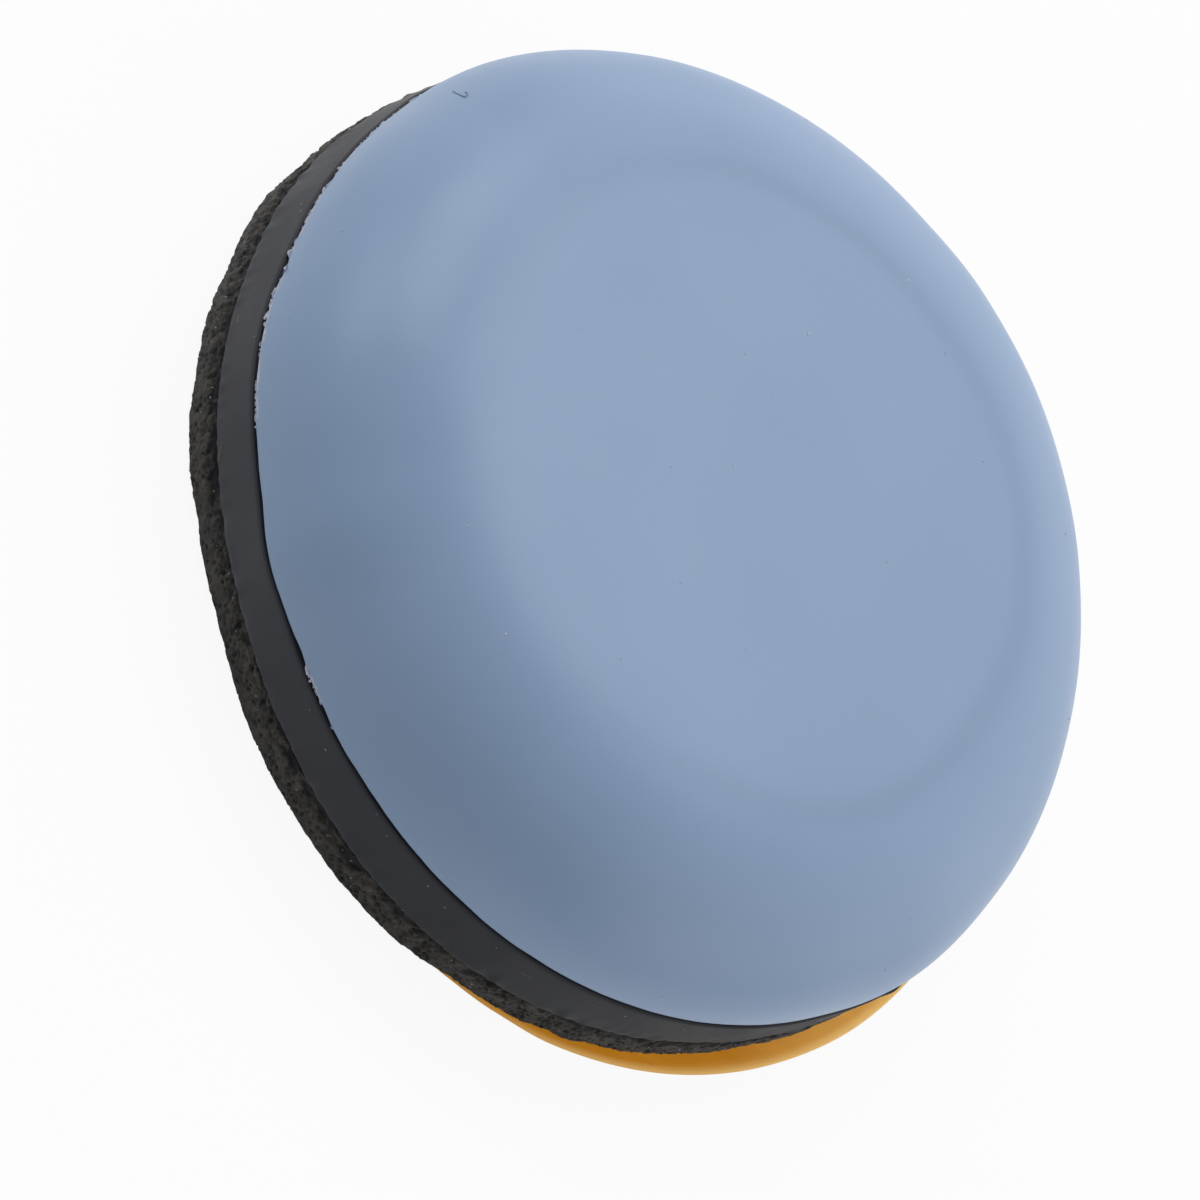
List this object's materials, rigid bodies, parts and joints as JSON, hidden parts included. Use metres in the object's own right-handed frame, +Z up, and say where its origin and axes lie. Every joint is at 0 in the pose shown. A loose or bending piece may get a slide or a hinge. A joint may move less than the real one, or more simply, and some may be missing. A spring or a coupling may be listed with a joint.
{
  "type": "appliance slider",
  "caption": "Round self-stick appliance slider: domed low-friction glide cap bonded over a rubber core, on black foam tape with an off-centre amber release liner.",
  "frame": {"origin": "on the underside of the release liner, on the axis of the puck", "axes": "+Z up through the glide face along the puck's axis, +X towards the liner's peeling lip"},
  "size_m": [0.0398, 0.0388, 0.0105],
  "materials": {
    "glide_plastic": "satin",
    "contact_adhesive": "satin",
    "dark_rubber": "matte",
    "tape_film": "satin",
    "black_foam": "matte",
    "mounting_film": "gloss",
    "amber_paper": "satin"
  },
  "bodies": {
    "liner": {"release_liner": "amber_paper"},
    "pad": {"mount_adhesive": "mounting_film", "foam_pad": "black_foam"},
    "glide": {"tape_adhesive": "tape_film", "rubber_core": "dark_rubber", "cap_bond": "contact_adhesive", "glide_cap": "glide_plastic"}
  },
  "joints": [
    {"name": "liner_peel", "type": "slide", "parent": "liner", "child": "pad", "axis": [0, 0, 1], "range_m": [0, 0.03]},
    {"name": "foam_squeeze", "type": "slide", "parent": "pad", "child": "glide", "axis": [0, 0, -1], "range_m": [0, 0.0007], "stiffness_N_per_m": 240000, "deforming": ["foam_pad"]}
  ]
}
